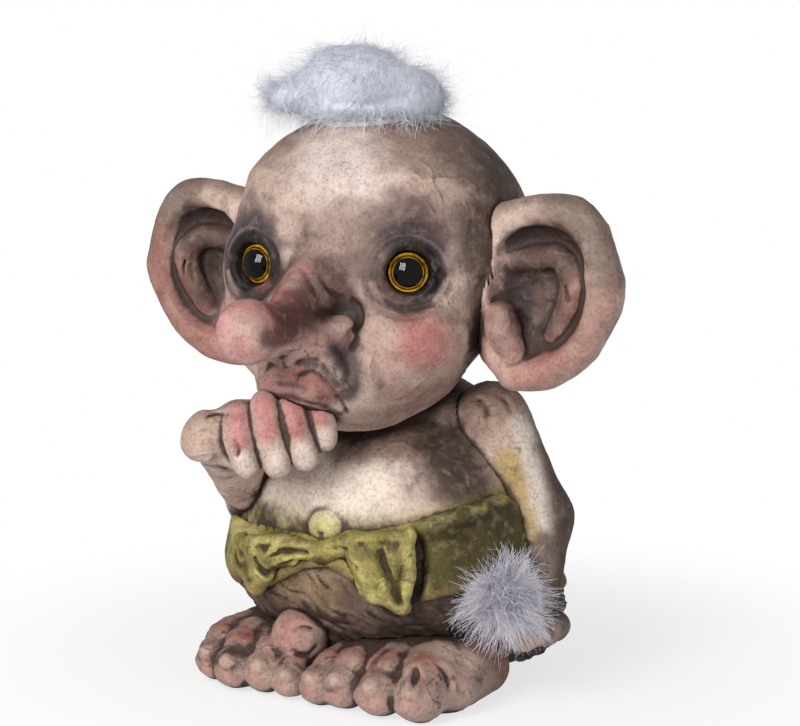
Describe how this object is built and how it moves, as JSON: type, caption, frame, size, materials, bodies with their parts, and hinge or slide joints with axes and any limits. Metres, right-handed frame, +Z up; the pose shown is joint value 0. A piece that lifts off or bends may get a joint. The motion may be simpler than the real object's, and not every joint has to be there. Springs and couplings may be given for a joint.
{
  "type": "norwegian troll figure",
  "caption": "Small Norwegian troll ornament with big ears, a long drooping nose, glass eyes, a moulded green nappy, a fist at its mouth and tufts of fur on its crown and tail.",
  "frame": {"origin": "centre of the felt pad's underside, on the surface the figure stands on", "axes": "+Z up, the troll faces -Y, +X is towards the troll's left hand"},
  "size_m": [0.1194, 0.092, 0.141],
  "materials": {
    "skin": "hand painted, matt, with a dark wash in the creases",
    "nappy_paint": "hand painted green over the same matt skin",
    "eye_glass": "clear polished glass",
    "eye_iris": "amber ring with a black pupil, gloss",
    "wire": "plain drawn wire",
    "pelt_hide": "undyed suede backing of the fur",
    "hair_fur": "soft white fur with a lavender tint",
    "tail_fur": "spiky lavender-grey fur",
    "peg_wood": "plain dowel",
    "board_wood": "plain plywood",
    "felt": "thin felt"
  },
  "bodies": {
    "root": {"body": "skin", "head": "skin", "ear_right": "skin", "ear_left": "skin", "arm_right": "skin", "arm_left": "skin", "foot_right": "skin", "foot_left": "skin", "nappy": "nappy_paint", "nappy_bow": "nappy_paint", "eye_glass_right": "eye_glass", "eye_glass_left": "eye_glass", "eye_iris_right": "eye_iris", "eye_iris_left": "eye_iris", "eye_shank_right": "wire", "eye_shank_left": "wire", "hair_pelt": "pelt_hide", "hair_tuft": "hair_fur", "tail": "skin", "tail_tuft": "tail_fur", "neck_peg": "peg_wood", "ear_peg_right": "peg_wood", "ear_peg_left": "peg_wood", "arm_peg_right": "peg_wood", "arm_peg_left": "peg_wood", "foot_peg_right": "peg_wood", "foot_peg_left": "peg_wood", "base_board": "board_wood", "base_felt": "felt"}
  },
  "joints": []
}
